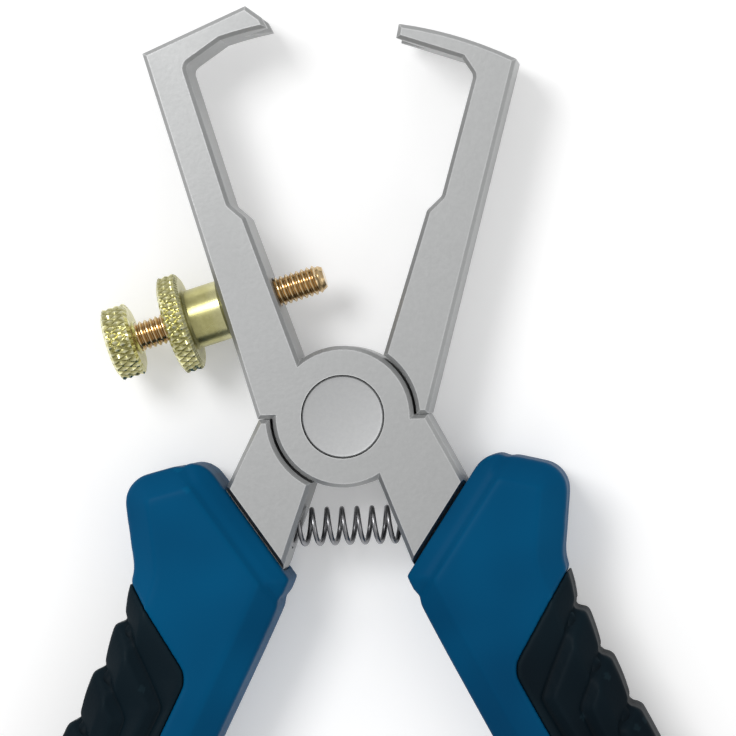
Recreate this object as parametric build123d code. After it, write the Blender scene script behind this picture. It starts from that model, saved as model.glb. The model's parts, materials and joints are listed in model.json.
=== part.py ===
"""End wire stripper with an adjusting screw, lying flat on its handles.

Two forged steel halves cross at a riveted lap joint.  Each half is a jaw arm on one side of the
pivot and a handle tang on the other.  The arms end in hooks whose V-notched blades slide over
each other.  A knurled screw in one arm stops the jaws at a chosen wire size, a knurled nut locks
it, and a coil spring between the tangs pushes the tool open.

Sizes are in millimetres.  A half is drawn closed, around the pivot, with its jaw at -X, its tang
at +X and its own layer of the lap joint at +Z.  The whole tool is then set open, and moved so
that the origin is the centre of its outline on the plane that it lies on.
"""

import os
from math import cos, pi, radians, sin, sqrt

from build123d import *

# ---- driving sizes -------------------------------------------------------------------------
OVERALL_LENGTH = 160.0  # hook tops to handle ends, closed
JAW_REACH = 53.0  # pivot to the highest point of the upper hook
OPENING_ANGLE = 25.0  # between closed blades and the open stop
STEEL_THICK = 9.0
HANDLE_THICK = 14.4

# ---- lap joint and rivet -------------------------------------------------------------------
BOSS_RADIUS = 8.9
LAP_GAP = 0.35  # radial gap between a boss and the shoulder round it
LAP_CLEARANCE = 0.04  # between the two bosses, face to face
STOP_CLEARANCE = 0.2  # degrees, taken off each stop ledge
RIVET_SHANK_RADIUS = 3.5
RIVET_HEAD_RADIUS = 5.25
RIVET_HEAD_DEPTH = 2.0
RIVET_EDGE = 0.25
PIVOT_CLEARANCE = 0.04  # radial, in the half that turns on the rivet

# ---- jaw arm -------------------------------------------------------------------------------
ARM_FOOT_WALL = 1.85  # steel outside the boss at the stop ledge
ARM_TOP_X = -13.2  # outer edge at the hook
ARM_UPPER_INNER_X = -8.3  # inner edge under the hook
ARM_LOWER_INNER_X = -7.15  # inner edge above the shoulder
SHOULDER_TOP_Y = 29.4
SHOULDER_LOW_Y = 27.3
SHOULDER_X = -5.65
ARM_ROOT_X = -3.55  # inner edge where it meets the boss
ARM_ROOT_Y = 8.0
CORNER_RADIUS = 1.0

# ---- hooks and blades ----------------------------------------------------------------------
HOOK_DEPTH = 3.3  # from the highest point down to the arc on which the blades slide
SHEAR_CLEARANCE = 0.05
HOOK_RISE = 2.45  # how far the upper hook's top climbs from the corner to the tip
UPPER_HOOK_TIP_X = 2.87
UPPER_HOOK_TOP_X = 0.9
UPPER_HOOK_NOSE = 1.4  # height of the ground nose above the blade edge
UPPER_HOOK_FLAT_X = -3.2  # the sliding face starts here
UPPER_HOOK_CORNER_DROP = 5.3  # inner corner below the highest point
LOWER_HOOK_TIP_X = 2.1
LOWER_HOOK_DEPTH = 1.8  # blade depth at its tip
LOWER_HOOK_CORNER_X = -6.5
LOWER_HOOK_CORNER_DROP = 6.25
LOWER_HOOK_ARM_DROP = 8.1
NOTCH_DEPTH = 3.15
NOTCH_HALF_WIDTH = 2.9
NOTCH_RELIEF = 1.5  # how much the notch widens through the blade

# ---- handle tang ---------------------------------------------------------------------------
TANG_FOOT_WALL = 1.45  # steel outside the boss at the tang's stop ledge
TANG_MOUTH_OUTER = (12.9, -11.8)  # where the tang enters the sleeve
TANG_MOUTH_INNER = (4.0, -20.2)
TANG_ROOT_INNER = (2.3, -8.2)
TANG_BEVEL_RUN = 0.6
TANG_CORE_THICK = 6.0
TANG_CORE_WIDTH = 8.0
TANG_CORE_START = (7.8, -14.9)
TANG_CORE_PATH = [(14.0, 0.123), (19.0, 0.339), (21.2, 0.555), (20.4, 0.772)]
STEEL_EDGE = 0.5  # broken edges of the steel halves

# ---- opening spring ------------------------------------------------------------------------
SPRING_DROP = 13.8  # below the pivot
SPRING_OUTER_DIAMETER = 5.0
SPRING_WIRE = 0.65
SPRING_PITCH = 1.9
SPRING_SEAT_DEPTH = 1.8  # pocket depth at the shallow side
SPRING_SEAT_BORE = 8.0  # length of the cut, from the pocket's floor out into the open
SPRING_CLEARANCE = 0.2
SPRING_END_GAP = 0.05

# ---- adjusting screw -----------------------------------------------------------------------
SCREW_HEIGHT = 17.0  # above the pivot, where the axis crosses the arm's outer edge
STUD_RADIUS = 1.9  # M4 x 0.7, over its rolled crests
THREAD_CLEARANCE = 0.05
STUD_TIP_REACH = 13.1  # past the arm's outer face
STUD_TIP_CHAMFER = 0.5
NUT_DISC_RADIUS = 6.35
NUT_DISC_THICK = 2.8
NUT_COLLAR_RADIUS = 3.8
NUT_COLLAR_LENGTH = 4.7
NUT_SEAT_GAP = 0.05
KNOB_RADIUS = 4.7
KNOB_THICK = 3.5
KNOB_FACE = 12.1  # knob's inner face, outwards from the arm
KNOB_BORE_DEPTH = 2.3
KNURL_CHAMFER = 0.35

# ---- handle --------------------------------------------------------------------------------
GUARD_PEAK_MARGIN = 4.9  # how far the mouth runs past the tang on the guard side
HEEL_MARGIN = 1.6  # and on the side between the handles
GUARD_CORNER = (25.9, -13.1)
GUARD_WAIST = (22.3, -23.8)
# points on the handle below the waist: x, and share of the way from the waist to the end
GRIP_OUTER = [(25.3, 0.171), (28.9, 0.339), (30.3, 0.507), (29.4, 0.712)]
HANDLE_END_OUTER = (26.8, 0.892)
HANDLE_END_INNER = (12.6, 0.904)
HANDLE_END_X = 19.6
GRIP_INNER = [(12.6, 0.688), (12.2, 0.459), (8.0, 0.22)]
GUARD_RADIUS = 3.7
WAIST_RADIUS = 5.0
END_RADIUS = 4.0
SLEEVE_BEVEL = 3.2
SLEEVE_BEVEL_DEPTH = 2.3
CORE_CLEARANCE = 0.05
INSERT_DEPTH = 2.0  # thickness of the soft insert
INSERT_START = (23.0, 0.012)
INSERT_NOSE = (13.0, 0.142)
INSERT_NOSE_RADIUS = 3.0
INSERT_INNER = [(15.4, 0.25), (18.6, 0.411), (19.8, 0.579), (19.4, 0.724)]
INSERT_END = (28.9, 0.886)
GROOVES = [  # each starts at the outer edge, turns at its nose and runs on down the handle
    [(24.6, 0.055), (16.3, 0.196), (19.6, 0.33)],
    [(26.6, 0.123), (20.7, 0.224), (23.2, 0.37)],
    [(28.9, 0.207), (24.6, 0.27), (26.6, 0.40)],
]
GROOVE_WIDTH = 1.0
GROOVE_DEPTH = 0.5

# ---- construction --------------------------------------------------------------------------
ROOM = 400.0  # a box with this side holds the whole tool
HOLE_LENGTH = 40.0  # through the arm and no other steel
WEDGE_REACH = 20.0  # half the length of the cut at the sleeve's mouth
CUT_OVERRUN = 2.0
INSERT_OVERRUN = 20.0
UPPER_HOOK_NOSE_RUN = 0.35
TANG_NECK_SHARE = 0.25  # where along the core its funnel ends
NOTCH_FLARE = 0.4  # half-width gained per millimetre of relief
NOTCH_WIDENING = 1.3
NOTCH_OVERRUN = 0.5
NOTCH_REACH = 4.0
NEAR = 0.01

HALF_OPEN = OPENING_ANGLE / 2
HALF_STEEL = STEEL_THICK / 2
HALF_HANDLE = HANDLE_THICK / 2
LAP_RADIUS = BOSS_RADIUS + LAP_GAP
ARM_FOOT_RADIUS = BOSS_RADIUS + ARM_FOOT_WALL
SHEAR_RADIUS = JAW_REACH - HOOK_DEPTH
HANDLE_REACH = OVERALL_LENGTH - JAW_REACH


# ---- small helpers -------------------------------------------------------------------------
def polar(radius, degrees):
    """A point at a radius and angle about the pivot."""
    return (radius * cos(radians(degrees)), radius * sin(radians(degrees)))


def on_arc(x, radius):
    """The point at x on the upper side of a circle about the pivot."""
    return (x, sqrt(radius**2 - x**2))


def along(start, end, distance):
    """The point that lies past end by distance, on the line from start."""
    step = Vector(*end) - Vector(*start)
    return Vector(*end) + step.normalized() * distance


def down_handle(points):
    """Turns each (x, share of the way from the waist to the handle's end) into (x, y)."""
    length = HANDLE_REACH + GUARD_WAIST[1]
    return [(x, GUARD_WAIST[1] - share * length) for x, share in points]


def slab(face, low, high):
    """A flat face made solid from low to high."""
    return extrude(Pos(0, 0, low) * face, amount=high - low)


def disc_below(radius, height):
    """A cylinder that hangs below the origin."""
    return Cylinder(radius, height, align=(Align.CENTER, Align.CENTER, Align.MAX))


def front_half(shape):
    """Sets a shape drawn closed on the half whose jaw is at the left."""
    return Rot(0, 0, HALF_OPEN) * shape


def rear_half(shape):
    """Sets a shape drawn closed on the other half, which is turned over."""
    return Rot(0, 0, -HALF_OPEN) * Rot(0, 180, 0) * shape


# ---- steel halves --------------------------------------------------------------------------
def arm_foot():
    """The end of the outer edge, on the radial stop ledge."""
    return polar(ARM_FOOT_RADIUS, 180 - HALF_OPEN - STOP_CLEARANCE)


def arm_body_lines(inner_top):
    """Edges of an arm from its inner edge under the hook down to the ledge and up the outside."""
    inner_low = (ARM_LOWER_INNER_X, SHOULDER_TOP_Y)
    shoulder = (SHOULDER_X, SHOULDER_LOW_Y)
    root = (ARM_ROOT_X, ARM_ROOT_Y)
    hub = polar(BOSS_RADIUS / 2, 180 - HALF_OPEN - STOP_CLEARANCE)
    return [inner_top, inner_low, shoulder, root, (0, 0), hub, arm_foot()]


def upper_hook_arm():
    """Outline of the arm whose hook passes over the other one."""
    radius = SHEAR_RADIUS + SHEAR_CLEARANCE
    corner_y = JAW_REACH - HOOK_RISE
    tip = on_arc(UPPER_HOOK_TIP_X, radius)
    flat_start = on_arc(UPPER_HOOK_FLAT_X, radius)
    corner = (ARM_UPPER_INNER_X, JAW_REACH - UPPER_HOOK_CORNER_DROP)
    nose = (UPPER_HOOK_TIP_X - UPPER_HOOK_NOSE_RUN, tip[1] + UPPER_HOOK_NOSE)
    body = arm_body_lines(corner)
    top = [body[-1], (ARM_TOP_X, corner_y), (UPPER_HOOK_TOP_X, JAW_REACH), nose, tip]
    sliding = ThreePointArc(tip, on_arc(0, radius), flat_start)
    return make_face(Polyline(*top) + sliding + Polyline(flat_start, *body))


def lower_hook_arm():
    """Outline of the arm whose hook passes under the other one."""
    radius = SHEAR_RADIUS - SHEAR_CLEARANCE
    corner = on_arc(ARM_TOP_X, radius)
    tip = on_arc(LOWER_HOOK_TIP_X, radius)
    body = arm_body_lines((ARM_UPPER_INNER_X, JAW_REACH - LOWER_HOOK_ARM_DROP))
    inner_corner = (LOWER_HOOK_CORNER_X, JAW_REACH - LOWER_HOOK_CORNER_DROP)
    sliding = ThreePointArc(corner, on_arc((corner[0] + tip[0]) / 2, radius), tip)
    under = [tip, (LOWER_HOOK_TIP_X, tip[1] - LOWER_HOOK_DEPTH), inner_corner, *body]
    return make_face(Line(body[-1], corner) + sliding + Polyline(*under))


def tang_outline():
    """Outline of the full-thickness tang, from the boss to the mouth of the sleeve."""
    ledge = -HALF_OPEN - STOP_CLEARANCE
    foot_radius = (BOSS_RADIUS + TANG_FOOT_WALL) / cos(radians(ledge))
    points = [(0, 0), polar(foot_radius, ledge), TANG_MOUTH_OUTER, TANG_MOUTH_INNER, TANG_ROOT_INNER]
    return make_face(Polyline(*points, close=True))


def rounded(face, corners):
    """The face with its corners nearest to the given points rounded."""
    for point in corners:
        vertex = face.vertices().sort_by_distance((*point, 0))[0]
        face = fillet(vertex, CORNER_RADIUS)
    return face


def tang_core(extra=0.0):
    """The thin tang inside the sleeve, or with extra clearance, the cavity for it."""
    width = TANG_CORE_WIDTH + 2 * extra
    thick = TANG_CORE_THICK + 2 * extra
    points = [TANG_CORE_START, *down_handle(TANG_CORE_PATH)]
    path = Spline(*points)
    neck = path @ TANG_NECK_SHARE
    strip = trace(path, line_width=width)
    end = Pos(*points[-1]) * Circle(width / 2)
    funnel = Polyline(
        TANG_MOUTH_OUTER,
        (neck.X + width / 2, neck.Y),
        (neck.X - width / 2, neck.Y),
        TANG_MOUTH_INNER,
        close=True,
    )
    return slab(strip + end + make_face(funnel), -thick / 2, thick / 2)


def mouth_plane():
    """Local X points into the sleeve, local Y runs along the mouth and local Z is up."""
    mouth = Vector(*TANG_MOUTH_OUTER) - Vector(*TANG_MOUTH_INNER)
    middle = (Vector(*TANG_MOUTH_OUTER) + Vector(*TANG_MOUTH_INNER)) / 2
    into = Vector(mouth.Y, -mouth.X).normalized()
    return Plane(origin=(middle.X, middle.Y, 0), x_dir=(into.X, into.Y, 0), z_dir=(0, 0, 1))


def tang_bevels():
    """Two wedges that slope the tang's faces down to its core at the mouth."""
    step = HALF_STEEL - TANG_CORE_THICK / 2
    profile = Polyline(
        (-TANG_BEVEL_RUN, HALF_STEEL), (0, HALF_STEEL - step), (CUT_OVERRUN, HALF_STEEL - step),
        (CUT_OVERRUN, HALF_STEEL + CUT_OVERRUN), (-TANG_BEVEL_RUN, HALF_STEEL + CUT_OVERRUN), close=True,
    )
    wedge = extrude(Plane.XZ * make_face(profile), amount=WEDGE_REACH, both=True)
    placed = mouth_plane().location * wedge
    return [placed, mirror(placed, Plane.XY)]


def notch(tip_x, low_y, high_y, widens_up):
    """The V between the blade's two prongs, wider away from its cutting edge."""
    sections = []
    for y, relieved in ((low_y, not widens_up), (high_y, widens_up)):
        extra = NOTCH_RELIEF if relieved else 0.0
        apex = tip_x - NOTCH_DEPTH - extra
        half = NOTCH_HALF_WIDTH + extra * NOTCH_FLARE
        wide = half * NOTCH_WIDENING
        triangle = Polyline((apex, 0), (tip_x + 1, wide), (tip_x + 1, -wide), close=True)
        sections.append(Plane(origin=(0, y, 0), x_dir=(1, 0, 0), z_dir=(0, 1, 0)) * make_face(triangle))
    return loft(sections)


def steel_half(arm):
    """A forged half from its arm outline: full thickness outside the lap, one layer inside it."""
    tang = tang_outline()
    outside = arm + tang - Circle(LAP_RADIUS)
    own_layer = arm + tang + Circle(BOSS_RADIUS)
    half = slab(outside, -HALF_STEEL, HALF_STEEL) + slab(own_layer, LAP_CLEARANCE / 2, HALF_STEEL)
    faces = half.faces().filter_by(Plane.XY)
    rims = faces.filter_by_position(Axis.Z, HALF_STEEL - NEAR, HALF_STEEL + NEAR).edges()
    rims += faces.filter_by_position(Axis.Z, -HALF_STEEL - NEAR, -HALF_STEEL + NEAR).edges()
    half = chamfer(rims, STEEL_EDGE)
    for wedge in tang_bevels():
        half -= wedge
    return half + tang_core()


def rivet(extra=0.0):
    """Rivet with two flush heads, or with extra clearance, the hole that it turns in."""
    shank = Cylinder(RIVET_SHANK_RADIUS + extra, STEEL_THICK)
    top = Pos(0, 0, HALF_STEEL) * disc_below(RIVET_HEAD_RADIUS + extra, RIVET_HEAD_DEPTH + extra)
    return shank + top + mirror(top, Plane.XY)


def spring_seat():
    """Pocket for the spring in the tang, drawn closed but bored along the spring's open line."""
    radius = SPRING_OUTER_DIAMETER / 2 + SPRING_CLEARANCE
    pocket = Pos(spring_reach(), 0, 0) * Rot(0, 90, 0) * disc_below(radius, SPRING_SEAT_BORE)
    return Rot(0, 0, -HALF_OPEN) * Pos(0, -SPRING_DROP, 0) * pocket


def spring_reach():
    """Half the spring's length with the tool open, from the tang's inner edge and the seat's depth."""
    inner = Vector(*TANG_MOUTH_INNER) - Vector(*TANG_ROOT_INNER)
    turned = Vector(*TANG_ROOT_INNER).rotate(Axis.Z, HALF_OPEN)
    slope = inner.rotate(Axis.Z, HALF_OPEN)
    face_x = turned.X + slope.X / slope.Y * (-SPRING_DROP - turned.Y)
    return face_x + SPRING_SEAT_DEPTH


def screw_location():
    """Local Z runs along the adjusting screw, from the arm's outer face into the tool."""
    foot = Vector(*arm_foot())
    top = Vector(ARM_TOP_X, JAW_REACH - HOOK_RISE)
    edge = top - foot
    origin = foot + edge * ((SCREW_HEIGHT - foot.Y) / edge.Y)
    inwards = Vector(edge.Y, -edge.X).normalized()
    return Plane(origin=(origin.X, origin.Y, 0), x_dir=(0, 0, 1), z_dir=(inwards.X, inwards.Y, 0)).location


def left_jaw_half():
    """The half with the upper hook and the threaded hole for the adjusting screw."""
    corners = [
        (ARM_UPPER_INNER_X, JAW_REACH - UPPER_HOOK_CORNER_DROP),
        (ARM_LOWER_INNER_X, SHOULDER_TOP_Y),
        (SHOULDER_X, SHOULDER_LOW_Y),
    ]
    arm = rounded(upper_hook_arm(), corners)
    low, high = SHEAR_RADIUS - NOTCH_OVERRUN, JAW_REACH + NOTCH_OVERRUN
    half = steel_half(arm) - notch(UPPER_HOOK_TIP_X, low, high, True)
    hole = screw_location() * Cylinder(STUD_RADIUS + THREAD_CLEARANCE, HOLE_LENGTH)
    return front_half(half - rivet() - spring_seat() - hole)


def right_jaw_half():
    """The half with the lower hook, which turns on the rivet."""
    corners = [
        (ARM_UPPER_INNER_X, JAW_REACH - LOWER_HOOK_ARM_DROP),
        (ARM_LOWER_INNER_X, SHOULDER_TOP_Y),
        (SHOULDER_X, SHOULDER_LOW_Y),
    ]
    arm = rounded(lower_hook_arm(), corners)
    low, high = SHEAR_RADIUS - NOTCH_REACH, SHEAR_RADIUS + NOTCH_OVERRUN
    half = steel_half(arm) - notch(LOWER_HOOK_TIP_X, low, high, False)
    return rear_half(half - rivet(PIVOT_CLEARANCE) - spring_seat())


# ---- joint hardware ------------------------------------------------------------------------
def pivot_rivet():
    body = rivet()
    rims = body.edges().filter_by_position(Axis.Z, HALF_STEEL - NEAR, HALF_STEEL + NEAR)
    rims += body.edges().filter_by_position(Axis.Z, -HALF_STEEL - NEAR, -HALF_STEEL + NEAR)
    return chamfer(rims, RIVET_EDGE)


def opening_spring():
    """Coil spring along X, its ends in the two tang pockets."""
    mean = (SPRING_OUTER_DIAMETER - SPRING_WIRE) / 2
    length = 2 * (spring_reach() - SPRING_END_GAP) - SPRING_WIRE
    path = Helix(pitch=SPRING_PITCH, height=length, radius=mean)
    wire = Circle(SPRING_WIRE / 2)
    coil = sweep(Plane(origin=path @ 0, z_dir=path % 0) * wire, path=path)
    return Pos(0, -SPRING_DROP, 0) * Rot(0, 90, 0) * Pos(0, 0, -length / 2) * coil


def adjusting_stud():
    start = -KNOB_FACE - KNOB_BORE_DEPTH + THREAD_CLEARANCE
    body = Cylinder(STUD_RADIUS, STUD_TIP_REACH - start, align=(Align.CENTER, Align.CENTER, Align.MIN))
    body = chamfer(body.edges().group_by(Axis.Z)[-1], STUD_TIP_CHAMFER)
    return front_half(screw_location() * Pos(0, 0, start) * body)


def adjusting_knob():
    disc = disc_below(KNOB_RADIUS, KNOB_THICK)
    disc = chamfer(disc.edges().filter_by(GeomType.CIRCLE), KNURL_CHAMFER)
    disc -= disc_below(STUD_RADIUS + THREAD_CLEARANCE, KNOB_BORE_DEPTH)
    return front_half(screw_location() * Pos(0, 0, -KNOB_FACE) * disc)


def lock_nut():
    length = NUT_COLLAR_LENGTH + NUT_DISC_THICK
    disc = disc_below(NUT_DISC_RADIUS, NUT_DISC_THICK)
    disc = chamfer(disc.edges().filter_by(GeomType.CIRCLE), KNURL_CHAMFER)
    body = disc_below(NUT_COLLAR_RADIUS, length) + Pos(0, 0, -NUT_COLLAR_LENGTH) * disc
    body -= Cylinder(STUD_RADIUS + THREAD_CLEARANCE, 4 * length)
    return front_half(screw_location() * Pos(0, 0, -NUT_SEAT_GAP) * body)


# ---- handles -------------------------------------------------------------------------------
def mouth_line():
    """Ends of the sleeve's mouth: its corner beside the guard and its heel between the handles."""
    peak = along(TANG_MOUTH_INNER, TANG_MOUTH_OUTER, GUARD_PEAK_MARGIN)
    heel = along(TANG_MOUTH_OUTER, TANG_MOUTH_INNER, HEEL_MARGIN)
    return (peak.X, peak.Y), (heel.X, heel.Y)


def handle_outline():
    """Outline of the whole handle, sleeve and soft insert together."""
    peak, heel = mouth_line()
    guard = Polyline(heel, peak, GUARD_CORNER, GUARD_WAIST)
    end_outer, end_inner = down_handle([HANDLE_END_OUTER, HANDLE_END_INNER])
    outer = Spline(GUARD_WAIST, *down_handle(GRIP_OUTER), end_outer)
    end = ThreePointArc(end_outer, (HANDLE_END_X, -HANDLE_REACH), end_inner)
    inner = Spline(end_inner, *down_handle(GRIP_INNER), heel)
    face = make_face(guard + outer + end + inner)
    corners = [
        (GUARD_CORNER, GUARD_RADIUS),
        (peak, GUARD_RADIUS),
        (GUARD_WAIST, WAIST_RADIUS),
        (end_outer, END_RADIUS),
        (end_inner, END_RADIUS),
    ]
    for point, radius in corners:
        face = fillet(face.vertices().sort_by_distance((*point, 0))[0], radius)
    return face


def handle_body():
    """The whole handle with both flat faces bevelled all round."""
    body = slab(handle_outline(), -HALF_HANDLE, HALF_HANDLE)
    for z in (HALF_HANDLE, -HALF_HANDLE):
        face = body.faces().filter_by(Plane.XY).sort_by_distance((0, 0, z * 10))[0]
        body = chamfer(face.edges(), SLEEVE_BEVEL, SLEEVE_BEVEL_DEPTH, reference=face)
    return body


def insert_region():
    """Flat region outside the boundary between the sleeve and its soft insert."""
    start, nose, end = down_handle([INSERT_START, INSERT_NOSE, INSERT_END])
    inner = down_handle(INSERT_INNER)
    outside = end[0] + INSERT_OVERRUN
    beyond = Polyline(inner[-1], end, (outside, end[1]), (outside, start[1]), start, nose)
    face = make_face(Spline(nose, *inner) + beyond)
    return fillet(face.vertices().sort_by_distance((*nose, 0))[0], INSERT_NOSE_RADIUS)


def grip_grooves(body):
    """Shallow grooves that nest inside the insert's nose and run over its outer side."""
    grooves = Sketch()
    for points in GROOVES:
        grooves += trace(Polyline(*down_handle(points)), line_width=GROOVE_WIDTH)
    floor = Pos(-GROOVE_DEPTH, 0, 0) * body
    floor &= Box(ROOM, ROOM, HANDLE_THICK - 2 * GROOVE_DEPTH)
    return slab(grooves, -HALF_HANDLE, HALF_HANDLE) - floor


def handle_parts():
    """Hard sleeve and soft insert: the insert wraps the handle's outer side and both its faces."""
    body = handle_body()
    under_insert = Pos(-INSERT_DEPTH, 0, 0) * body
    under_insert &= Box(ROOM, ROOM, HANDLE_THICK - 2 * INSERT_DEPTH)
    insert = (body & slab(insert_region(), -HALF_HANDLE, HALF_HANDLE)) - under_insert
    sleeve = body - insert - tang_core(CORE_CLEARANCE)
    return sleeve, insert - grip_grooves(body)


def base_centre(shapes):
    """Centre of the whole outline, on the plane that the tool lies on."""
    boxes = [shape.bounding_box() for shape in shapes]
    middle_x = (min(box.min.X for box in boxes) + max(box.max.X for box in boxes)) / 2
    middle_y = (min(box.min.Y for box in boxes) + max(box.max.Y for box in boxes)) / 2
    return Vector(middle_x, middle_y, min(box.min.Z for box in boxes))


def main():
    os.makedirs("parts", exist_ok=True)
    sleeve, insert = handle_parts()
    parts = {
        "left_jaw_half": left_jaw_half(),
        "right_jaw_half": right_jaw_half(),
        "pivot_rivet": front_half(pivot_rivet()),
        "opening_spring": opening_spring(),
        "adjusting_stud": adjusting_stud(),
        "adjusting_knob": adjusting_knob(),
        "lock_nut": lock_nut(),
        "right_handle_sleeve": front_half(sleeve),
        "right_grip_insert": front_half(insert),
        "left_handle_sleeve": rear_half(sleeve),
        "left_grip_insert": rear_half(insert),
    }
    origin = base_centre(parts.values())
    for name, shape in parts.items():
        export_step(Pos(-origin) * shape, f"parts/{name}.step")


main()
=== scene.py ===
"""Looks of an end wire stripper that lies open on a pale bench.

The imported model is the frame: it gives the pivot, the screw's axis and every piece's box.  The
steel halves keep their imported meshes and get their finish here.  The rivet, spring, screw, knob,
nut and handles are made again in finer detail.  Sizes in the classes are in millimetres, and MM
turns them into the frame's metres.
"""

import json
import logging
import math
from collections.abc import Callable
from dataclasses import dataclass, field
from enum import Enum

import bmesh
import bpy
from mathutils import Matrix, Vector


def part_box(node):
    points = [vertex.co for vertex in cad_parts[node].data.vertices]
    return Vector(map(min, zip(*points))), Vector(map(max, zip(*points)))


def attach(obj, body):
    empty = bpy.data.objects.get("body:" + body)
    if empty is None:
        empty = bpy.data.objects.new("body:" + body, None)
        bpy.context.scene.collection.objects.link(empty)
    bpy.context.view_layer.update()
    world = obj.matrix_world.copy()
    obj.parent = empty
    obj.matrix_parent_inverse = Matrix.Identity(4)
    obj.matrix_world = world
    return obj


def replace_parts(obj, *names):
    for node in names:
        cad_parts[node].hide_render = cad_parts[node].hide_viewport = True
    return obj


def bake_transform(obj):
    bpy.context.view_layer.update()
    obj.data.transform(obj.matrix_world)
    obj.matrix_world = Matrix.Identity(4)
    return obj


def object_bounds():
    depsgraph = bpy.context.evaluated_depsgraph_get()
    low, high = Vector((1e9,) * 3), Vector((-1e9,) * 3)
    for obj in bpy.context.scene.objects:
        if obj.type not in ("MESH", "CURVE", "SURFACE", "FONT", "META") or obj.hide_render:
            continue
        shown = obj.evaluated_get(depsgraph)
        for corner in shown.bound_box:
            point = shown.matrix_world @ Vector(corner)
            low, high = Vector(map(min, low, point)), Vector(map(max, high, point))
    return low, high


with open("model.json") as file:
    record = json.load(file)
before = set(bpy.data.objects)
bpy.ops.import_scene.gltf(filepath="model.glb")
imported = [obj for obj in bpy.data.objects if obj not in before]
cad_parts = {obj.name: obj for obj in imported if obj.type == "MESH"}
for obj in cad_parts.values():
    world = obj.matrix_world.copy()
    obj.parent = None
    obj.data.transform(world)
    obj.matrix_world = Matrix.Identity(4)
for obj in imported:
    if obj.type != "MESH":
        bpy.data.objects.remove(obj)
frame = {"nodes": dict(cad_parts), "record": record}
packed_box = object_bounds()

MM = 0.001
LOG = logging.getLogger("wire_stripper")
Mesh = bmesh.types.BMesh
Colour = tuple[float, float, float]


class Body(Enum):
    """The rigid bodies of the tool."""

    UPPER = "upper_hook_half"
    LOWER = "lower_hook_half"
    STUD = "stud"
    KNOB = "knob"
    NUT = "nut"


class Side(Enum):
    """Which handle, with the sign of its turn from closed to open."""

    RIGHT = 1
    LEFT = -1


def joint(name: str) -> dict:
    """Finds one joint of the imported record.

    Args:
        name: The joint's name.

    Returns:
        The joint as the record states it.
    """
    return next(entry for entry in frame["record"]["behaviour"]["joints"] if entry["name"] == name)


PIVOT = Vector(joint("jaw_pivot")["pos_m"])
HALF_OPEN = math.radians(joint("jaw_pivot")["range_deg"][1]) / 2


# ---- shader parts --------------------------------------------------------------------------
class Graph:
    """A node tree that is being filled."""

    def __init__(self, tree: bpy.types.NodeTree) -> None:
        """Starts on an empty tree.

        Args:
            tree: The tree of a material or of a node group.
        """
        self.tree = tree
        tree.nodes.clear()

    def add(self, kind: str, inputs: dict | None = None, **settings: object) -> bpy.types.Node:
        """Adds one node.

        Args:
            kind: The node's type, without its ShaderNode prefix.
            inputs: A value or an output socket for each input, by name or number.
            settings: The node's own settings.

        Returns:
            The new node.
        """
        prefix = "" if kind.startswith("NodeGroup") else "ShaderNode"
        node = self.tree.nodes.new(prefix + kind)
        for key, value in settings.items():
            setattr(node, key, value)
        for key, value in (inputs or {}).items():
            if isinstance(value, bpy.types.NodeSocket):
                self.tree.links.new(value, node.inputs[key])
            else:
                node.inputs[key].default_value = value
        return node

    def math(self, operation: str, first: object, second: object = 0.0) -> bpy.types.NodeSocket:
        """Adds a Math node and returns its result.

        Args:
            operation: The operation's name.
            first: A number or a socket.
            second: A number or a socket.

        Returns:
            The result socket.
        """
        return self.add("Math", {0: first, 1: second}, operation=operation).outputs[0]

    def spread(
        self, value: object, low: float, high: float, to_low: float, to_high: float
    ) -> bpy.types.NodeSocket:
        """Maps a value from one range to another, and holds it there.

        Args:
            value: The socket to map.
            low: Start of its range.
            high: End of its range.
            to_low: What low becomes.
            to_high: What high becomes.

        Returns:
            The mapped value.
        """
        sockets = {"Value": value, "From Min": low, "From Max": high, "To Min": to_low, "To Max": to_high}
        return self.add("MapRange", sockets).outputs["Result"]

    def mix(self, factor: object, first: object, second: object, blend: str = "MIX") -> bpy.types.NodeSocket:
        """Mixes two colours.

        Args:
            factor: Share of the second colour.
            first: A colour or a socket.
            second: A colour or a socket.
            blend: How they mix.

        Returns:
            The mixed colour.
        """
        node = self.add("Mix", {0: factor}, data_type="RGBA", blend_type=blend)
        for index, value in ((6, first), (7, second)):
            if isinstance(value, bpy.types.NodeSocket):
                self.tree.links.new(value, node.inputs[index])
            else:
                node.inputs[index].default_value = (*value, 1.0)
        return node.outputs[2]


def make_group(
    name: str, inputs: dict[str, tuple[str, object]], outputs: dict[str, str]
) -> tuple[Graph, bpy.types.Node, bpy.types.Node]:
    """Starts a shader node group.

    Args:
        name: The group's name.
        inputs: Socket type and default for each input, by name.
        outputs: Socket type for each output, by name.

    Returns:
        The graph, its input node and its output node.
    """
    tree = bpy.data.node_groups.new(name, "ShaderNodeTree")
    for key, (kind, default) in inputs.items():
        socket = tree.interface.new_socket(key, in_out="INPUT", socket_type=kind)
        if default is not None:
            socket.default_value = default
    for key, kind in outputs.items():
        tree.interface.new_socket(key, in_out="OUTPUT", socket_type=kind)
    graph = Graph(tree)
    return graph, graph.add("NodeGroupInput"), graph.add("NodeGroupOutput")


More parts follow.
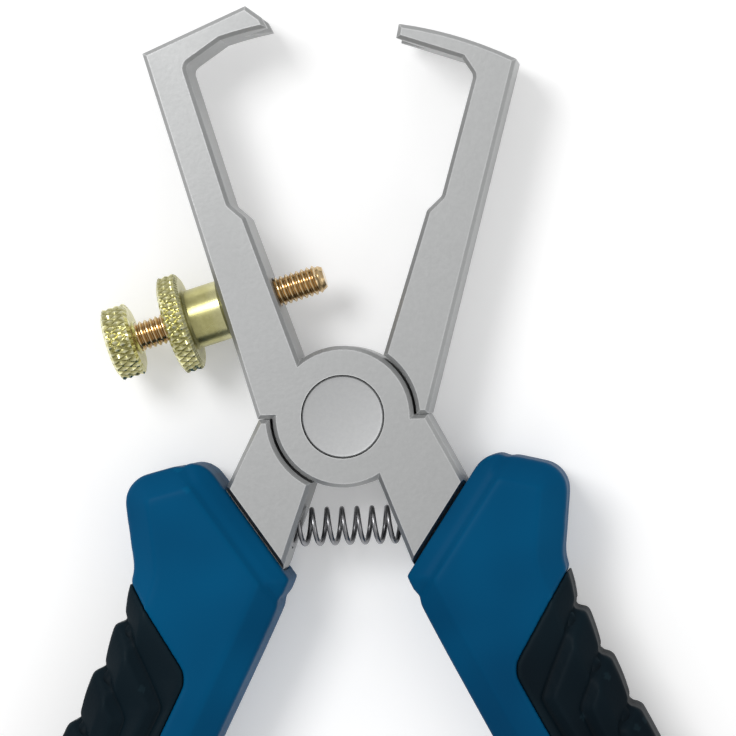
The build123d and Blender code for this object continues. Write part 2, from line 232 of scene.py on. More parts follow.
class Effects:
    """Node groups that the finishes share."""

    def __init__(self) -> None:
        """Builds each group once."""
        self.grain = self.make_grain()
        self.wear_highlight_and_shade = self.make_wear_highlight_and_shade()
        self.rub = self.make_rub()
        self.handling = self.make_handling()

    def make_grain(self) -> bpy.types.NodeTree:
        """Fine surface grain, which can be drawn out along one axis.

        Returns:
            The group, with a height output.
        """
        sockets = {
            "Vector": ("NodeSocketVector", None),
            "Stretch": ("NodeSocketVector", (1.0, 1.0, 1.0)),
            "Scale": ("NodeSocketFloat", 3000.0),
        }
        graph, source, sink = make_group("fine_grain", sockets, {"Height": "NodeSocketFloat"})
        pair = {0: source.outputs["Vector"], 1: source.outputs["Stretch"]}
        drawn = graph.add("VectorMath", pair, operation="MULTIPLY")
        settings = {"Vector": drawn.outputs[0], "Scale": source.outputs["Scale"]}
        noise = graph.add("TexNoise", {**settings, "Detail": 3.0, "Roughness": 0.65})
        graph.tree.links.new(noise.outputs["Fac"], sink.inputs["Height"])
        return graph.tree

    def make_wear_highlight_and_shade(self) -> bpy.types.NodeTree:
        """Masks for a piece's edges, rubbed and given a painted highlight, and for its hollows, given
        painted shade.

        Returns:
            The group, with one output for each mask.
        """
        sockets = {"Vector": ("NodeSocketVector", None), "Patchiness": ("NodeSocketFloat", 0.4)}
        masks = {"Edges": "NodeSocketFloat", "HollowShade": "NodeSocketFloat"}
        graph, source, sink = make_group("edge_wear_highlight_and_hollow_shade", sockets, masks)
        point = graph.add("NewGeometry").outputs["Pointiness"]
        noise = graph.add("TexNoise", {"Vector": source.outputs["Vector"], "Scale": 450.0, "Detail": 3.0})
        patches = graph.spread(noise.outputs["Fac"], 0.3, 0.7, 0.0, 1.0)
        broken = graph.math("SUBTRACT", 1.0, graph.math("MULTIPLY", patches, source.outputs["Patchiness"]))
        # Edge mask: rubbed wear, and a painted highlight where a finish lightens the edges.
        edges = graph.math("MULTIPLY", graph.spread(point, 0.51, 0.58, 0.0, 1.0), broken)
        graph.tree.links.new(edges, sink.inputs["Edges"])
        # Hollow mask: marks the concave places where a finish paints shade.
        graph.tree.links.new(graph.spread(point, 0.42, 0.49, 1.0, 0.0), sink.inputs["HollowShade"])
        return graph.tree

    def make_rub(self) -> bpy.types.NodeTree:
        """Mask for the rubbed edges of a piece with broad flat faces.

        Returns:
            The group, with the same outputs as edge_wear_highlight_and_hollow_shade.
        """
        sockets = {"Vector": ("NodeSocketVector", None), "Patchiness": ("NodeSocketFloat", 0.4)}
        masks = {"Edges": "NodeSocketFloat", "HollowShade": "NodeSocketFloat"}
        graph, source, sink = make_group("edge_rub", sockets, masks)
        rounded = graph.add("Bevel", {"Radius": 0.25 * MM}, samples=4)
        true = graph.add("NewGeometry")
        pair = {0: rounded.outputs[0], 1: true.outputs["Normal"]}
        match = graph.add("VectorMath", pair, operation="DOT_PRODUCT").outputs["Value"]
        noise = graph.add("TexNoise", {"Vector": source.outputs["Vector"], "Scale": 450.0, "Detail": 3.0})
        patches = graph.spread(noise.outputs["Fac"], 0.3, 0.7, 0.0, 1.0)
        broken = graph.math("SUBTRACT", 1.0, graph.math("MULTIPLY", patches, source.outputs["Patchiness"]))
        edges = graph.math("MULTIPLY", graph.spread(match, 0.95, 0.995, 1.0, 0.0), broken)
        graph.tree.links.new(edges, sink.inputs["Edges"])
        sink.inputs["HollowShade"].default_value = 0.0
        return graph.tree

    def make_handling(self) -> bpy.types.NodeTree:
        """Wide soft patches where hands have polished a surface or left it duller.

        Returns:
            The group, with one value output.
        """
        sockets = {"Vector": ("NodeSocketVector", None), "Scale": ("NodeSocketFloat", 60.0)}
        graph, source, sink = make_group("handling", sockets, {"Value": "NodeSocketFloat"})
        settings = {"Vector": source.outputs["Vector"], "Scale": source.outputs["Scale"], "Detail": 2.0}
        noise = graph.add("TexNoise", settings)
        graph.tree.links.new(graph.spread(noise.outputs["Fac"], 0.3, 0.7, 0.0, 1.0), sink.inputs["Value"])
        return graph.tree


@dataclass(frozen=True)
class MetalFinish:
    """A bare or plated metal."""

    name: str
    colour: Colour
    shade: Colour
    edge: Colour
    roughness: float
    grain_scale: float = 2600.0
    grain_stretch: Colour = (1.0, 1.0, 1.0)
    grain_depth: float = 0.006
    metallic: float = 1.0
    broad: bool = False

    def material(self, effects: Effects) -> bpy.types.Material:
        """Builds the finish.

        Args:
            effects: The shared node groups.

        Returns:
            The material.
        """
        material = bpy.data.materials.new(self.name)
        material.use_nodes = True
        graph = Graph(material.node_tree)
        place = graph.add("TexCoord").outputs["Object"]
        grain = graph.add("Group", node_tree=effects.grain)
        graph.tree.links.new(place, grain.inputs["Vector"])
        grain.inputs["Stretch"].default_value = self.grain_stretch
        grain.inputs["Scale"].default_value = self.grain_scale
        wear_highlight_and_shade = graph.add("Group", {}, node_tree=effects.rub if self.broad else effects.wear_highlight_and_shade)
        graph.tree.links.new(place, wear_highlight_and_shade.inputs["Vector"])
        touch = graph.add("Group", {}, node_tree=effects.handling)
        graph.tree.links.new(place, touch.inputs["Vector"])
        base = graph.mix(graph.math("MULTIPLY", touch.outputs["Value"], 0.35), self.colour, self.shade)
        speckle = graph.spread(grain.outputs["Height"], 0.35, 0.65, 0.0, 0.5)
        base = graph.mix(speckle, base, self.shade)
        # Painted shade: hollows darken towards a quarter of the shade colour.
        hollow_shade_colour = tuple(c * 0.25 for c in self.shade)
        base = graph.mix(graph.math("MULTIPLY", wear_highlight_and_shade.outputs["HollowShade"], 0.85), base, hollow_shade_colour)
        # Edges lighten towards the edge colour: rubbed wear, partly a painted highlight.
        base = graph.mix(wear_highlight_and_shade.outputs["Edges"], base, self.edge)
        rough = graph.spread(touch.outputs["Value"], 0.0, 1.0, self.roughness - 0.04, self.roughness + 0.05)
        rough = graph.math("SUBTRACT", rough, graph.math("MULTIPLY", wear_highlight_and_shade.outputs["Edges"], 0.12))
        relief = {"Strength": 0.6, "Distance": self.grain_depth * MM, "Height": grain.outputs["Height"]}
        bump = graph.add("Bump", relief)
        shader = graph.add(
            "BsdfPrincipled",
            {"Base Color": base, "Roughness": rough, "Metallic": self.metallic, "Normal": bump.outputs[0]},
        )
        out = graph.add("OutputMaterial", {"Surface": shader.outputs[0]})
        out.is_active_output = True
        return material


@dataclass(frozen=True)
class MouldedFinish:
    """A moulded plastic or rubber, with its mould's parting line at mid-height."""

    name: str
    colour: Colour
    shade: Colour
    edge: Colour
    roughness: float
    grain_scale: float
    grain_depth: float
    index: float = 1.5
    seam_width: float = 0.12

    def material(self, effects: Effects) -> bpy.types.Material:
        """Builds the finish.

        Args:
            effects: The shared node groups.

        Returns:
            The material.
        """
        material = bpy.data.materials.new(self.name)
        material.use_nodes = True
        graph = Graph(material.node_tree)
        place = graph.add("TexCoord").outputs["Object"]
        grain = graph.add("Group", node_tree=effects.grain)
        graph.tree.links.new(place, grain.inputs["Vector"])
        grain.inputs["Scale"].default_value = self.grain_scale
        wear_highlight_and_shade = graph.add("Group", {"Patchiness": 0.2}, node_tree=effects.wear_highlight_and_shade)
        graph.tree.links.new(place, wear_highlight_and_shade.inputs["Vector"])
        touch = graph.add("Group", {"Scale": 45.0}, node_tree=effects.handling)
        graph.tree.links.new(place, touch.inputs["Vector"])
        height = graph.add("SeparateXYZ", {0: place}).outputs["Z"]
        off_seam = graph.math("ABSOLUTE", graph.math("SUBTRACT", height, PIVOT.z))
        seam = graph.spread(off_seam, 0.0, self.seam_width * MM, 1.0, 0.0)
        base = graph.mix(touch.outputs["Value"], self.colour, self.shade)
        # Painted highlight: edges lighten a little towards the edge colour.
        base = graph.mix(graph.math("MULTIPLY", wear_highlight_and_shade.outputs["Edges"], 0.2), base, self.edge)
        # Painted shade in the hollows, together with the real mould seam line, darkens the colour.
        hollow_shade_share = graph.math("MULTIPLY", wear_highlight_and_shade.outputs["HollowShade"], 0.7)
        seam_and_hollow_shade = graph.math("MAXIMUM", hollow_shade_share, graph.math("MULTIPLY", seam, 0.5))
        base = graph.mix(seam_and_hollow_shade, base, tuple(c * 0.3 for c in self.shade))
        rough = graph.spread(touch.outputs["Value"], 0.0, 1.0, self.roughness - 0.05, self.roughness + 0.06)
        relief = graph.math("SUBTRACT", grain.outputs["Height"], graph.math("MULTIPLY", seam, 6.0))
        bump = graph.add("Bump", {"Strength": 0.7, "Distance": self.grain_depth * MM, "Height": relief})
        settings = {"Base Color": base, "Roughness": rough, "Normal": bump.outputs[0]}
        shader = graph.add("BsdfPrincipled", settings)
        shader.inputs["IOR"].default_value = self.index
        out = graph.add("OutputMaterial", {"Surface": shader.outputs[0]})
        out.is_active_output = True
        return material


class Finishes:
    """Every finish on the tool, each built once."""

    def __init__(self) -> None:
        """Builds the shared node groups and the materials."""
        effects = Effects()
        # Metals: the edge colour is rubbed wear and partly a painted highlight; a quarter of the shade
        # colour is the painted shade in hollows.
        self.steel = MetalFinish(
            "satin_forged_steel", (0.43, 0.435, 0.435), (0.38, 0.385, 0.385), (0.66, 0.67, 0.67), 0.44,
            grain_scale=2000.0, grain_depth=0.018, broad=True,
        ).material(effects)
        self.rivet = MetalFinish(
            "ground_rivet_steel", (0.48, 0.485, 0.485), (0.41, 0.415, 0.42), (0.58, 0.59, 0.60), 0.40,
            grain_scale=2600.0, grain_depth=0.008, broad=True,
        ).material(effects)
        self.spring = MetalFinish(
            "drawn_spring_wire", (0.20, 0.20, 0.21), (0.12, 0.12, 0.13), (0.45, 0.45, 0.46), 0.28,
            grain_scale=1800.0, grain_depth=0.004,
        ).material(effects)
        self.thread = MetalFinish(
            "yellow_plated_thread", (0.66, 0.48, 0.25), (0.44, 0.28, 0.13), (0.92, 0.80, 0.55), 0.22,
            grain_scale=1500.0, grain_depth=0.004,
        ).material(effects)
        self.knurled = MetalFinish(
            "yellow_plated_knurl", (0.62, 0.59, 0.28), (0.42, 0.39, 0.15), (0.92, 0.90, 0.62), 0.26,
            grain_scale=1500.0, grain_depth=0.004,
        ).material(effects)
        # Moulded finishes: the edge colour is a painted highlight, and the shade colour also gives the
        # painted shade in hollows.
        self.sleeve = MouldedFinish(
            "blue_moulded_plastic", (0.0, 0.080, 0.19), (0.0, 0.042, 0.11), (0.0, 0.15, 0.30), 0.45,
            grain_scale=1400.0, grain_depth=0.012, index=1.12,
        ).material(effects)
        self.grip = MouldedFinish(
            "black_soft_grip", (0.004, 0.012, 0.018), (0.001, 0.004, 0.007), (0.020, 0.045, 0.058), 0.5,
            grain_scale=2200.0, grain_depth=0.03, index=1.15,
        ).material(effects)


# ---- mesh helpers --------------------------------------------------------------------------
def finish_piece(
    name: str, mesh: bpy.types.Mesh, material: bpy.types.Material, smooth: float
) -> bpy.types.Object:
    """Makes a finished mesh an object of the scene.

    Args:
        name: The piece's name.
        mesh: The mesh, in its place.
        material: The finish.
        smooth: Edges that turn more than this many degrees stay sharp.

    Returns:
        The object.
    """
    mesh.name = name
    mesh.materials.clear()
    mesh.materials.append(material)
    mesh.polygons.foreach_set("use_smooth", [True] * len(mesh.polygons))
    mesh.set_sharp_from_angle(angle=math.radians(smooth))
    piece = bpy.data.objects.new(name, mesh)
    bpy.context.scene.collection.objects.link(piece)
    return piece


def to_mesh(bm: Mesh, place: Matrix, name: str) -> bpy.types.Mesh:
    """Turns a bmesh in millimetres into a mesh in the frame.

    Args:
        bm: The shape, which is freed.
        place: Where its own axes go in the frame.
        name: The mesh's name.

    Returns:
        The mesh.
    """
    bmesh.ops.recalc_face_normals(bm, faces=bm.faces)
    bmesh.ops.transform(bm, matrix=place @ Matrix.Scale(MM, 4), verts=bm.verts)
    mesh = bpy.data.meshes.new(name)
    bm.to_mesh(mesh)
    bm.free()
    return mesh


def lathe(outline: list[tuple[float, float]], steps: int, closed: bool = False) -> Mesh:
    """Spins an outline round Z.

    Args:
        outline: Radius and height of each point.
        steps: Steps in the full turn.
        closed: Whether the outline joins its end to its start, as round a bore.

    Returns:
        The closed solid.
    """
    bm = bmesh.new()
    points = [bm.verts.new((radius, 0.0, height)) for radius, height in outline]
    pairs = list(zip(points, points[1:]))
    if closed:
        pairs.append((points[-1], points[0]))
    edges = [bm.edges.new(pair) for pair in pairs]
    bmesh.ops.spin(
        bm, geom=points + edges, cent=(0, 0, 0), axis=(0, 0, 1), dvec=(0, 0, 0), angle=math.tau, steps=steps,
        use_merge=True, use_duplicate=False,
    )
    bmesh.ops.remove_doubles(bm, verts=bm.verts, dist=1e-5)
    bmesh.ops.dissolve_degenerate(bm, edges=bm.edges, dist=1e-5)
    return bm


def triangle_wave(turn: float) -> float:
    """Rises from 0 at whole numbers to 1 half way between them.

    Args:
        turn: Any number.

    Returns:
        The height at it.
    """
    return 1.0 - abs(2.0 * (turn - math.floor(turn)) - 1.0)


def ease(value: float, low: float, high: float) -> float:
    """Rises smoothly from 0 at low to 1 at high.

    Args:
        value: The value to map.
        low: Where the rise starts.
        high: Where it ends.

    Returns:
        A share from 0 to 1.
    """
    share = min(max((value - low) / (high - low), 0.0), 1.0)
    return share * share * (3.0 - 2.0 * share)


# ---- steel ---------------------------------------------------------------------------------
@dataclass
class SteelHalves:
    """The two forged halves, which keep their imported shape."""

    finishes: Finishes
    nodes: tuple[str, ...] = ("left_jaw_half", "right_jaw_half")

    def dress(self) -> None:
        """Gives both halves their satin finish."""
        for name in self.nodes:
            node = frame["nodes"][name]
            node.data.materials.clear()
            node.data.materials.append(self.finishes.steel)
            LOG.info("%s keeps its packed mesh", name)


@dataclass
class PivotRivet:
    """Rivet whose two heads are ground flush, each with a fine ring round it."""

    finishes: Finishes
    radius: float = 5.25
    ring: float = 0.1
    head_depth: float = 2.0
    shank: float = 3.5
    edge: float = 0.18
    sink: float = 0.03
    steps: int = 128

    def build(self) -> bpy.types.Object:
        """Spins the rivet round the pivot.

        Returns:
            The rivet.
        """
        low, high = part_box("pivot_rivet")
        half = (high.z - low.z) / MM / 2
        rim = self.radius - self.ring
        head = [
            (0.0, half - self.sink),
            (rim - 3 * self.edge, half - self.sink),
            (rim - self.edge, half),
            (rim, half - self.edge),
            (rim, half - self.head_depth),
            (self.shank, half - self.head_depth),
        ]
        bm = lathe(head + [(radius, -height) for radius, height in reversed(head)], self.steps)
        mesh = to_mesh(bm, Matrix.Translation(PIVOT), "rivet")
        rivet = finish_piece("rivet", mesh, self.finishes.rivet, 30)
        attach(rivet, Body.UPPER.value)
        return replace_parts(rivet, "pivot_rivet")


@dataclass
class OpeningSpring:
    """Coil spring with closed ends between the two tangs."""

    finishes: Finishes
    wire: float = 0.65
    coils: float = 7.5
    steps: int = 40
    wire_sides: int = 14

    def build(self) -> bpy.types.Object:
        """Winds the spring between its seats.

        Returns:
            The spring.
        """
        low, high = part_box("opening_spring")
        length = (high.x - low.x) / MM
        mean = (high.z - low.z) / MM / 2 - self.wire / 2
        pitch = (length - 3 * self.wire) / self.coils
        bm = bmesh.new()
        section = Matrix.Translation((mean, 0, 0)) @ Matrix.Rotation(math.pi / 2, 4, "X")
        made = bmesh.ops.create_circle(
            bm, cap_ends=False, radius=self.wire / 2, segments=self.wire_sides, matrix=section
        )
        ring = made["verts"] + list({edge for vert in made["verts"] for edge in vert.link_edges})
        for turns, rise in ((1.0, self.wire), (self.coils, pitch), (1.0, self.wire)):
            steps = round(self.steps * turns)
            wound = bmesh.ops.spin(
                bm, geom=ring, cent=(0, 0, 0), axis=(0, 0, 1), dvec=(0, 0, rise * turns / steps),
                angle=math.tau * turns, steps=steps, use_duplicate=False,
            )
            ring = wound["geom_last"]
        bmesh.ops.holes_fill(bm, edges=bm.edges, sides=self.wire_sides)
        middle = (low + high) / 2
        start = Matrix.Translation((low.x + self.wire / 2 * MM, middle.y, middle.z))
        mesh = to_mesh(bm, start @ Matrix.Rotation(math.pi / 2, 4, "Y"), "spring")
        spring = finish_piece("spring", mesh, self.finishes.spring, 60)
        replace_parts(spring, "opening_spring")
        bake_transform(spring)
        return spring


# ---- adjusting screw -----------------------------------------------------------------------
@dataclass
class AdjustingScrew:
    """Threaded stud, knurled knob and knurled lock nut on one axis.

    Heights run along the axis from the knob's inner face, into the tool.
    """

    finishes: Finishes
    crest: float = 1.9
    root: float = 1.55
    pitch: float = 0.7
    stud_start: float = -2.25
    stud_end: float = 25.2
    stud_tip: float = 0.5
    knob_radius: float = 4.7
    knob_thick: float = 3.5
    knob_teeth: int = 28
    nut_radius: float = 6.35
    nut_thick: float = 2.8
    nut_near: float = 4.55
    nut_teeth: int = 38
    collar_radius: float = 3.8
    collar_length: float = 4.7
    bore: float = 1.95
    chamfer: float = 0.35
    knurl_depth: float = 0.42
    knurl_pitch: float = 1.75
    knurl_rows: int = 14
    steps_per_tooth: int = 8
    place: Matrix = field(init=False)

    def __post_init__(self) -> None:
        """Sets local Z along the screw, from its joint."""
        turn = joint("knob_turn")
        along = Vector(turn["axis"])
        self.place = Matrix.Translation(turn["pos_m"]) @ along.to_track_quat("Z", "Y").to_matrix().to_4x4()

    def knurl(self, bm: Mesh, radius: float, teeth: int, low: float, high: float) -> None:
        """Presses a diamond knurl into a rim.

        Args:
            bm: The wheel, in millimetres.
            radius: The rim's radius.
            teeth: Diamonds round the rim.
            low: Where the rim starts.
            high: Where it ends.
        """
        for vert in bm.verts:
            reach = vert.co.xy.length
            if abs(reach - radius) > 1e-3 or not low - 1e-3 <= vert.co.z <= high + 1e-3:
                continue
            turn = teeth * math.atan2(vert.co.y, vert.co.x) / math.tau
            rise = (vert.co.z - low) / self.knurl_pitch
            crown = min(triangle_wave(turn + rise), triangle_wave(turn - rise))
            vert.co.xy *= 1.0 - self.knurl_depth * (1.0 - crown) / reach

    def rim(self, radius: float, low: float, high: float) -> list[tuple[float, float]]:
        """Points of a chamfered rim, close enough together for the knurl.

        Args:
            radius: The rim's radius.
            low: Where the rim starts.
            high: Where it ends.

        Returns:
            Radius and height of each point.
        """
        start, end = low + self.chamfer, high - self.chamfer
        rows = [start + (end - start) * row / self.knurl_rows for row in range(self.knurl_rows + 1)]
        shoulder = radius - self.chamfer - self.knurl_depth
        return [(shoulder, low), *((radius, row) for row in rows), (shoulder, high)]

    def build_stud(self) -> bpy.types.Object:
        """Winds the thread, then cuts and caps both ends.

        Returns:
            The stud.
        """
        steps = 48
        turns = int((self.stud_end - self.stud_start) / self.pitch) + 3
        bm = bmesh.new()
        start = self.stud_start - self.pitch
        flank = self.pitch / 2
        points = []
        for index in range(2 * turns + 1):
            reach = self.crest if index % 2 else self.root
            points += [bm.verts.new((reach, 0, start + (index + nudge) * flank)) for nudge in (-0.14, 0.14)]
        edges = [bm.edges.new(pair) for pair in zip(points, points[1:])]
        bmesh.ops.spin(
            bm, geom=points + edges, cent=(0, 0, 0), axis=(0, 0, 1), dvec=(0, 0, self.pitch / steps),
            angle=math.tau, steps=steps, use_duplicate=False,
        )
        bmesh.ops.remove_doubles(bm, verts=bm.verts, dist=1e-4)
        for height, way in ((self.stud_start, -1.0), (self.stud_end, 1.0)):
            bmesh.ops.bisect_plane(
                bm, geom=bm.verts[:] + bm.edges[:] + bm.faces[:], plane_co=(0, 0, height),
                plane_no=(0, 0, way), clear_outer=True,
            )
        bmesh.ops.holes_fill(bm, edges=[edge for edge in bm.edges if edge.is_boundary], sides=0)
        tip = self.stud_end - 2 * self.stud_tip
        for vert in bm.verts:
            slope = self.crest - max(vert.co.z - tip, 0.0) * 0.6
            reach = vert.co.xy.length
            if reach > slope:
                vert.co.xy *= slope / reach
        mesh = to_mesh(bm, self.place, "stud")
        stud = finish_piece("stud", mesh, self.finishes.thread, 40)
        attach(stud, Body.STUD.value)
        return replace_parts(stud, "adjusting_stud")

    def build_knob(self) -> bpy.types.Object:
        """Spins and knurls the knob, with a shallow dish in its outer face.

        Returns:
            The knob.
        """
        outer, dish = -self.knob_thick, 0.35
        inner_lip, outer_lip = self.knob_radius * 0.62, self.knob_radius * 0.7
        face = [(0.0, outer + dish), (inner_lip, outer + dish), (outer_lip, outer)]
        outline = face + self.rim(self.knob_radius, outer, 0.0)
        outline += [(self.bore + 0.3, 0.0), (self.bore, 0.25)]
        outline += [(self.bore, self.stud_start), (0.0, self.stud_start)]
        bm = lathe(outline, self.knob_teeth * self.steps_per_tooth)
        self.knurl(bm, self.knob_radius, self.knob_teeth, outer + self.chamfer, -self.chamfer)
        knob = finish_piece("knob", to_mesh(bm, self.place, "knob"), self.finishes.knurled, 28)
        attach(knob, Body.KNOB.value)
        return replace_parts(knob, "adjusting_knob")

    def build_nut(self) -> bpy.types.Object:
        """Spins and knurls the lock nut with its collar.

        Returns:
            The nut.
        """
        near, far = self.nut_near, self.nut_near + self.nut_thick
        end = far + self.collar_length
        ease_in = 0.3
        outline = [
            (self.bore, near + ease_in),
            (self.bore + ease_in, near),
            *self.rim(self.nut_radius, near, far),
            (self.collar_radius + ease_in, far),
            (self.collar_radius, far + ease_in),
            (self.collar_radius, end - ease_in),
            (self.collar_radius - ease_in, end),
            (self.bore + ease_in, end),
            (self.bore, end - ease_in),
        ]
        bm = lathe(outline, self.nut_teeth * self.steps_per_tooth, closed=True)
        self.knurl(bm, self.nut_radius, self.nut_teeth, near + self.chamfer, far - self.chamfer)
        mesh = to_mesh(bm, self.place, "lock_nut")
        nut = finish_piece("lock_nut_knurled", mesh, self.finishes.knurled, 28)
        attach(nut, Body.NUT.value)
        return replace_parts(nut, "lock_nut")


# ---- handles -------------------------------------------------------------------------------
@dataclass
class Handle:
    """A hard sleeve and its soft insert, with moulded edges, a collar and nested ribs.

    Places are in the half's own axes, closed, with the pivot as origin and the tang at +X.
    """

    finishes: Finishes
    side: Side
    voxel: float = 0.34
    passes: int = 4
    mouth: tuple[float, float] = (4.0, -20.2)
    mouth_slope: float = 43.3
    collar: float = 2.5
    collar_groove: float = 0.6
    collar_depth: float = 0.3
    rib_fall: float = 1.1
    rib_step: float = 0.45
    settle: int = 2
    fade_from: float = -54.0
    fade_to: float = -68.0
    ribs: tuple[tuple[tuple[float, float], ...], ...] = (
        ((23.0, -24.8), (13.0, -35.6), (16.8, -51.3)),
        ((24.6, -28.4), (16.3, -40.1), (19.6, -51.3)),
        ((26.6, -34.0), (20.7, -42.4), (23.2, -54.6)),
        ((28.9, -41.0), (24.6, -46.3), (26.6, -57.1)),
    )
    own: Matrix = field(init=False)

    def __post_init__(self) -> None:
        """Works out the turn from the open tool to the half's own axes."""
        back = Matrix.Rotation(-HALF_OPEN * self.side.value, 4, "Z") @ Matrix.Translation(-PIVOT)
        flip = Matrix.Rotation(math.pi if self.side is Side.LEFT else 0.0, 4, "Y")
        self.own = flip @ back

    @property
    def name(self) -> str:
        """The handle's side as a word.

        Returns:
            The word in lower case.
        """
        return self.side.name.lower()

    @property
    def body(self) -> Body:
        """The half that the handle is pressed on.

        Returns:
            The body.
        """
        return Body.UPPER if self.side is Side.RIGHT else Body.LOWER

    def soften(self, node: str) -> bpy.types.Mesh:
        """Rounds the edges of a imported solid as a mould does.

        Args:
            node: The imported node.

        Returns:
            A new, evenly divided mesh.
        """
        bm = bmesh.new()
        bm.from_mesh(frame["nodes"][node].data)
        bmesh.ops.remove_doubles(bm, verts=bm.verts, dist=1e-6)
        mesh = bpy.data.meshes.new("block")
        bm.to_mesh(mesh)
        bm.free()
        block = bpy.data.objects.new("block", mesh)
        bpy.context.scene.collection.objects.link(block)
        remesh = block.modifiers.new("even", "REMESH")
        remesh.mode = "VOXEL"
        remesh.voxel_size = self.voxel * MM
        smooth = block.modifiers.new("soft", "SMOOTH")
        smooth.iterations = self.passes
        smooth.factor = 0.5
        view = block.evaluated_get(bpy.context.evaluated_depsgraph_get())
        soft = bpy.data.meshes.new_from_object(view)
        bpy.data.objects.remove(block)
        return soft

    def carve(self, node: str, mesh: bpy.types.Mesh, depth_at: Callable[[Vector], float]) -> None:
        """Sinks each point of a mesh along its normal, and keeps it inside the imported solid's box.

        Args:
            node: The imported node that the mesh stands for.
            mesh: The mesh, in the frame.
            depth_at: Gives the depth in millimetres from a point in the half's own axes.
        """
        normals = [vert.normal.copy() for vert in mesh.vertices]
        for vert, normal in zip(mesh.vertices, normals):
            vert.co -= normal * depth_at((self.own @ vert.co) / MM) * MM
        bm = bmesh.new()
        bm.from_mesh(mesh)
        for _ in range(self.settle):
            bmesh.ops.smooth_vert(
                bm, verts=bm.verts, factor=0.5, use_axis_x=True, use_axis_y=True, use_axis_z=True
            )
        low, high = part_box(node)
        for vert in bm.verts:
            vert.co = [min(max(value, floor), top) for value, floor, top in zip(vert.co, low, high)]
        bm.to_mesh(mesh)
        bm.free()

    def collar_at(self, place: Vector) -> float:
        """Depth of the groove that sets off the collar round the sleeve's mouth.

        Args:
            place: A point in the half's own axes, in millimetres.

        Returns:
            The depth in millimetres.
        """
        slope = math.radians(self.mouth_slope)
        inside = (place.x - self.mouth[0]) * math.sin(slope) - (place.y - self.mouth[1]) * math.cos(slope)
        return self.collar_depth * math.exp(-(((inside - self.collar) / self.collar_groove) ** 2))

    def rib_at(self, place: Vector) -> float:
        """Depth below the ribs' crests: each rib starts proud and falls towards the next.

        Args:
            place: A point in the half's own axes, in millimetres.

        Returns:
            The depth in millimetres.
        """
        point = place.xy
        inside, nearest = -1, []
        for index, (edge, nose, end) in enumerate(self.ribs):
            start, turn, stop = Vector(edge), Vector(nose), Vector(end)
            run_out = turn + (start - turn) * 2
            run_down = turn + (stop - turn) * 3
            below = (run_out - turn).cross(point - turn) <= 0
            beside = (run_down - turn).cross(point - turn) >= 0
            if below and beside:
                inside = index
            nearest.append(min(self.off_line(point, turn, run_out), self.off_line(point, turn, run_down)))
        if inside < 0 or inside == len(self.ribs) - 1:
            return 0.0
        share = nearest[inside] / (nearest[inside] + nearest[inside + 1])
        step = 1.0 - ease(nearest[inside + 1], 0.0, self.rib_step)
        fade = 1.0 - ease(-place.y, -self.fade_from, -self.fade_to)
        return self.rib_fall * share * share * (1.0 - step) * fade

    @staticmethod
    def off_line(point: Vector, start: Vector, end: Vector) -> float:
        """Distance from a point to a stretch of line.

        Args:
            point: The point.
            start: One end of the line.
            end: Its other end.

        Returns:
            The distance in millimetres.
        """
        run = end - start
        share = min(max((point - start).dot(run) / run.length_squared, 0.0), 1.0)
        return (point - start - run * share).length

    def build(self) -> list[bpy.types.Object]:
        """Makes the sleeve and the insert.

        Returns:
            Both pieces.
        """
        made = []
        work = (
            ("handle_sleeve", self.collar_at, self.finishes.sleeve, "blue_plastic"),
            ("grip_insert", self.rib_at, self.finishes.grip, "black_soft_grip"),
        )
        for part, depth_at, material, slot in work:
            node = f"{self.name}_{part}"
            mesh = self.soften(node)
            self.carve(node, mesh, depth_at)
            piece = finish_piece(f"{node}_moulded", mesh, material, 180)
            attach(piece, self.body.value)
            made.append(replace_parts(piece, node))
        return made


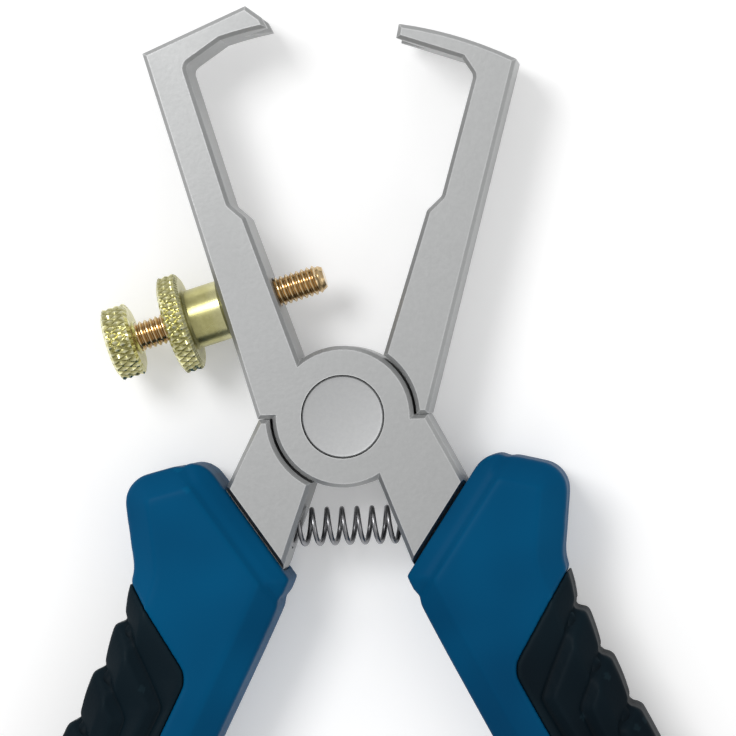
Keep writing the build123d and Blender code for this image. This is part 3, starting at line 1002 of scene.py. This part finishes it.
# ---- studio --------------------------------------------------------------------------------
@dataclass
class Studio:
    """Pale floor, soft light and the camera."""

    floor_size: float = 3000.0
    floor_colour: Colour = (0.93, 0.93, 0.93)
    view_width: float = 92.0
    distance: float = 450.0
    sensor: float = 36.0
    lean: float = 1.95
    swing: float = 5.5
    aim: tuple[float, float] = (3.2, 6.1)

    def build_floor(self) -> None:
        """Lays a floor under the tool."""
        bm = bmesh.new()
        bmesh.ops.create_grid(bm, x_segments=1, y_segments=1, size=self.floor_size / 2)
        level = Matrix.Translation((0, 0, packed_box[0].z - 0.02 * MM))
        mesh = to_mesh(bm, level, "floor")
        material = bpy.data.materials.new("pale_floor")
        material.use_nodes = True
        graph = Graph(material.node_tree)
        place = graph.add("TexCoord").outputs["Object"]
        noise = graph.add("TexNoise", {"Vector": place, "Scale": 300.0, "Detail": 2.0})
        share = graph.math("MULTIPLY", noise.outputs["Fac"], 0.1)
        shade = graph.mix(share, self.floor_colour, (0.88, 0.88, 0.88))
        shader = graph.add("BsdfPrincipled", {"Base Color": shade, "Roughness": 0.9})
        shader.inputs["Emission Color"].default_value = (1.0, 1.0, 1.0, 1.0)
        shader.inputs["Emission Strength"].default_value = 0.2
        graph.add("OutputMaterial", {"Surface": shader.outputs[0]})
        floor = finish_piece("floor", mesh, material, 30)

    def light(self, name: str, place: Colour, size: float, power: float) -> None:
        """Hangs a square soft light that looks at the tool.

        Args:
            name: The light's name.
            place: Where it hangs, in metres.
            size: Its side, in metres.
            power: Its power, in watts.
        """
        data = bpy.data.lights.new(name, "AREA")
        data.size = size
        data.energy = power
        lamp = bpy.data.objects.new(name, data)
        bpy.context.scene.collection.objects.link(lamp)
        lamp.location = place
        lamp.rotation_euler = (-Vector(place)).to_track_quat("-Z", "Y").to_euler()

    def build_light(self) -> None:
        """Lights the tool from above, with a stronger light at the upper left."""
        world = bpy.data.worlds.new("studio")
        bpy.context.scene.world = world
        world.use_nodes = True
        graph = Graph(world.node_tree)
        sky = graph.add("Background", {"Color": (1.0, 1.0, 1.0, 1.0), "Strength": 0.62})
        graph.add("OutputWorld", {"Surface": sky.outputs[0]})
        self.light("key", (-0.35, 0.35, 0.75), 0.35, 3.2)
        self.light("fill", (0.6, -0.1, 0.6), 0.5, 0.6)
        bpy.context.scene.view_settings.view_transform = "Standard"

    def build_camera(self) -> None:
        """Looks straight down, a little from the right, with the tool leaning to the left."""
        lean = Matrix.Rotation(math.radians(-self.lean), 3, "Z")
        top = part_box("left_jaw_half")[1].z
        target = Vector((PIVOT.x, PIVOT.y, top)) + lean @ Vector((*self.aim, 0.0)) * MM
        swing = math.radians(self.swing)
        back = lean @ Vector((math.sin(swing), 0.0, math.cos(swing)))
        up = lean @ Vector((0.0, 1.0, 0.0))
        right = up.cross(back)
        turn = Matrix((right, up, back)).transposed().to_4x4()
        data = bpy.data.cameras.new("camera")
        data.sensor_width = self.sensor
        data.lens = self.sensor * self.distance / self.view_width
        data.clip_start = 0.01
        camera = bpy.data.objects.new("camera", data)
        bpy.context.scene.collection.objects.link(camera)
        camera.matrix_world = Matrix.Translation(target + back * self.distance * MM) @ turn
        bpy.context.scene.camera = camera


def main() -> None:
    """Builds the tool and its studio, and reports each piece."""
    logging.basicConfig(level=logging.INFO, format="%(message)s")
    finishes = Finishes()
    SteelHalves(finishes).dress()
    screw = AdjustingScrew(finishes)
    pieces = [PivotRivet(finishes).build(), OpeningSpring(finishes).build()]
    pieces += [screw.build_stud(), screw.build_knob(), screw.build_nut()]
    for side in Side:
        pieces += Handle(finishes, side).build()
    for piece in pieces:
        LOG.info("%s has %d faces", piece.name, len(piece.data.polygons))
    studio = Studio()
    studio.build_floor()
    studio.build_light()
    studio.build_camera()


if __name__ == "__main__":
    main()
